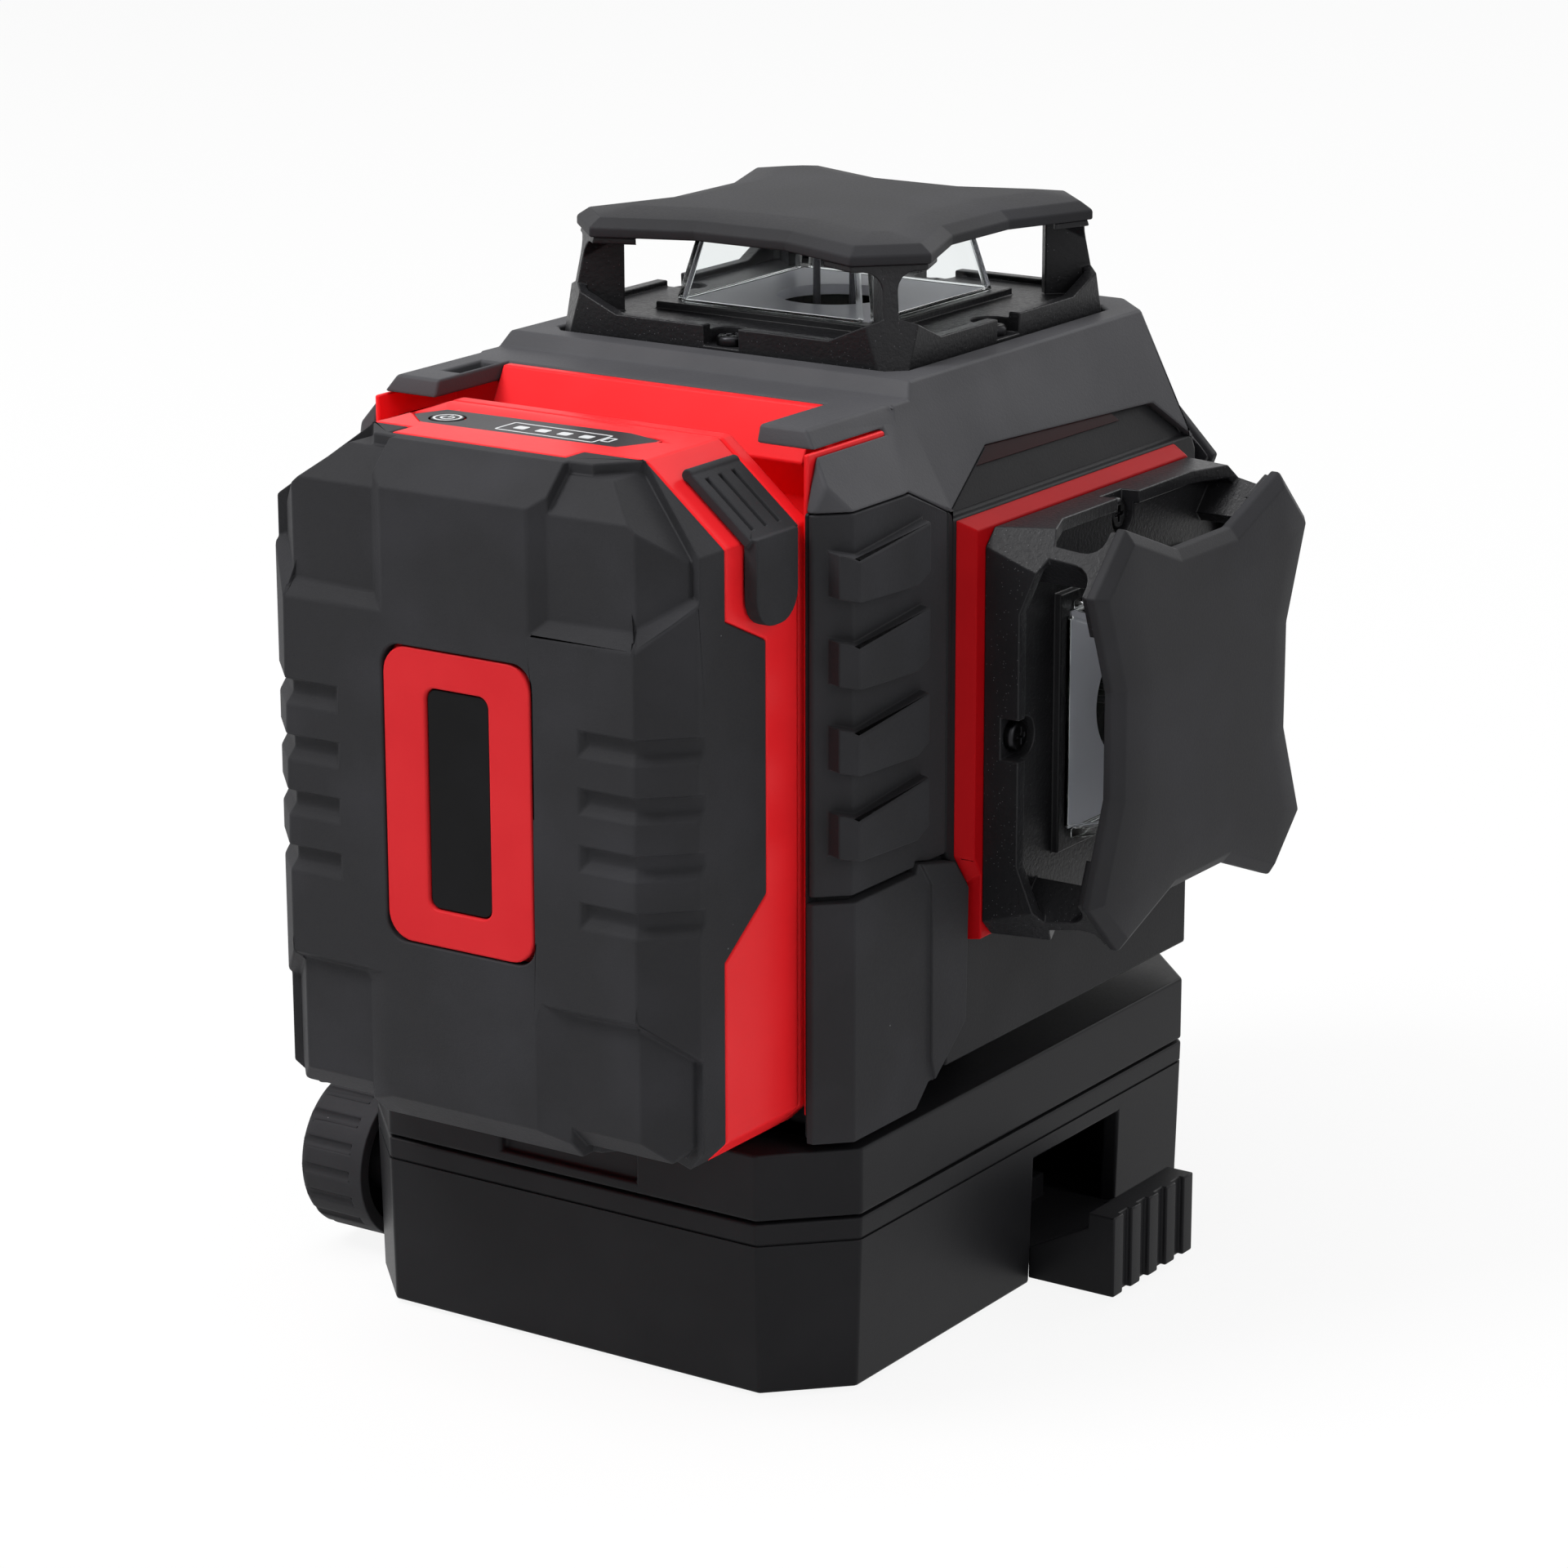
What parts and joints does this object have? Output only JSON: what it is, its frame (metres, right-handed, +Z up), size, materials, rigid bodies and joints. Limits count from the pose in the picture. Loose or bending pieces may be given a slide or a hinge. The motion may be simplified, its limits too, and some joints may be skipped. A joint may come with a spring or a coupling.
{
  "type": "rotating laser level",
  "caption": "Self-levelling cross-line laser with glazed heads on the top, side and back, a slide-on battery, and a fine-turning base with a tripod thread.",
  "frame": {"origin": "mouth of the tripod thread, in the plane the base stands on, on the turntable's axis", "axes": "+X towards the side laser head, -Y towards the battery, +Z up along the turntable's axis"},
  "size_m": [0.1102, 0.1423, 0.1424],
  "materials": {
    "base_plastic": "satin moulded ABS",
    "shell_rubber": "fine-textured thermoplastic elastomer",
    "hood_plastic": "fine-textured polycarbonate blend",
    "red_plastic": "smooth moulded plastic",
    "black_gloss": "polished moulded plastic",
    "window_glass": "clear flat glass",
    "steel": "zinc-plated steel",
    "black_steel": "black-oxide steel",
    "brass": "turned brass",
    "aluminium": "machined aluminium",
    "zinc_casting": "die-cast zinc",
    "mirror": "silvered glass cone",
    "spring_steel": "drawn wire",
    "circuit_board": "solder-masked board",
    "cell_wrap": "shrink-wrapped steel can",
    "acetal": "natural acetal",
    "grey_plastic": "polished grey plastic"
  },
  "bodies": {
    "base": {"base_shell": "base_plastic", "base_plate": "base_plastic", "base_feet": "shell_rubber", "tripod_insert": "brass", "base_screws": "steel", "worm_bushes": "acetal", "spindle_screw": "steel"},
    "knob": {"fine_knob": "base_plastic", "worm_shaft": "acetal"},
    "catch": {"catch_tab": "base_plastic", "catch_spring": "spring_steel"},
    "wheel": {"worm_wheel": "acetal", "clutch_washer": "spring_steel"},
    "head": {"turntable": "base_plastic", "turntable_screws": "steel", "housing": "shell_rubber", "hood": "hood_plastic", "bay_liner": "red_plastic", "grip_left": "shell_rubber", "grip_right": "shell_rubber", "boot_left": "shell_rubber", "boot_right": "shell_rubber", "side_bezel": "red_plastic", "rear_bezel": "red_plastic", "top_head_frame": "hood_plastic", "side_head_frame": "hood_plastic", "rear_head_frame": "hood_plastic", "top_head_cap": "hood_plastic", "side_head_cap": "hood_plastic", "rear_head_cap": "hood_plastic", "head_floors": "grey_plastic", "head_glass": "window_glass", "head_screws": "black_steel", "gimbal_yoke": "zinc_casting", "main_board": "circuit_board", "contact_pins": "brass", "damping_magnets": "steel"},
    "ring": {"gimbal_ring": "brass"},
    "pendulum": {"pendulum": "zinc_casting", "pendulum_weight": "brass", "damping_disc": "aluminium", "laser_modules": "brass", "cone_mirrors": "mirror"},
    "lock_slider": {"lock_slider": "red_plastic"},
    "lock_pad": {"lock_pad": "acetal"},
    "key_1": {"mode_key_1": "shell_rubber"},
    "key_2": {"mode_key_2": "shell_rubber"},
    "key_3": {"mode_key_3": "shell_rubber"},
    "battery": {"battery_case": "red_plastic", "battery_cover": "shell_rubber", "battery_back": "red_plastic", "battery_contacts": "brass", "battery_cells": "cell_wrap", "battery_board": "circuit_board", "label_frame": "red_plastic", "label_plate": "black_gloss", "gauge_overlay": "black_gloss", "usb_port": "steel"},
    "gauge_key": {"gauge_key": "shell_rubber"},
    "usb_flap": {"usb_flap": "shell_rubber"}
  },
  "joints": [
    {"name": "wheel_turn", "type": "hinge", "parent": "base", "child": "wheel", "pos_m": [0, 0, 0.012], "axis": [0, 0, 1], "continuous": true},
    {"name": "knob_turn", "type": "hinge", "parent": "base", "child": "knob", "pos_m": [-0.046, -0.0315, 0.0125], "axis": [1, 0, 0], "continuous": true},
    {"name": "catch_press", "type": "slide", "parent": "base", "child": "catch", "axis": [1, 0, 0], "range_m": [-0.005, 0], "stiffness_N_per_m": 400, "springref_m": 0.004, "deforming": ["catch_spring"]},
    {"name": "head_turn", "type": "hinge", "parent": "wheel", "child": "head", "pos_m": [0, 0, 0.03], "axis": [0, 0, 1], "continuous": true},
    {"name": "ring_tilt", "type": "hinge", "parent": "head", "child": "ring", "pos_m": [0, 0.012, 0.104], "axis": [1, 0, 0], "range_deg": [-4, 4]},
    {"name": "pendulum_tilt", "type": "hinge", "parent": "ring", "child": "pendulum", "pos_m": [0, 0.012, 0.104], "axis": [0, 1, 0], "range_deg": [-4, 4]},
    {"name": "lock_slide", "type": "slide", "parent": "head", "child": "lock_slider", "axis": [0, 1, 0], "range_m": [0, 0.008]},
    {"name": "pad_lift", "type": "slide", "parent": "head", "child": "lock_pad", "axis": [0, 0, 1], "range_m": [0, 0.0022]},
    {"name": "key_1_press", "type": "slide", "parent": "head", "child": "key_1", "axis": [1, 0, 0], "range_m": [0, 0.0006], "stiffness_N_per_m": 800},
    {"name": "key_2_press", "type": "slide", "parent": "head", "child": "key_2", "axis": [1, 0, 0], "range_m": [0, 0.0006], "stiffness_N_per_m": 800},
    {"name": "key_3_press", "type": "slide", "parent": "head", "child": "key_3", "axis": [1, 0, 0], "range_m": [0, 0.0006], "stiffness_N_per_m": 800},
    {"name": "battery_pull", "type": "slide", "parent": "head", "child": "battery", "axis": [0, -1, 0], "range_m": [0, 0.02]},
    {"name": "gauge_press", "type": "slide", "parent": "battery", "child": "gauge_key", "axis": [0, 0, -1], "range_m": [0, 0.0004], "stiffness_N_per_m": 800},
    {"name": "flap_open", "type": "hinge", "parent": "battery", "child": "usb_flap", "pos_m": [0.02442, -0.0525, 0.12029], "axis": [0, -1, 0], "range_deg": [0, 100]}
  ],
  "couplings": [
    {"joint": "knob_turn", "follows": "wheel_turn", "ratio": 12},
    {"joint": "pad_lift", "follows": "lock_slide", "ratio": 0.275}
  ]
}
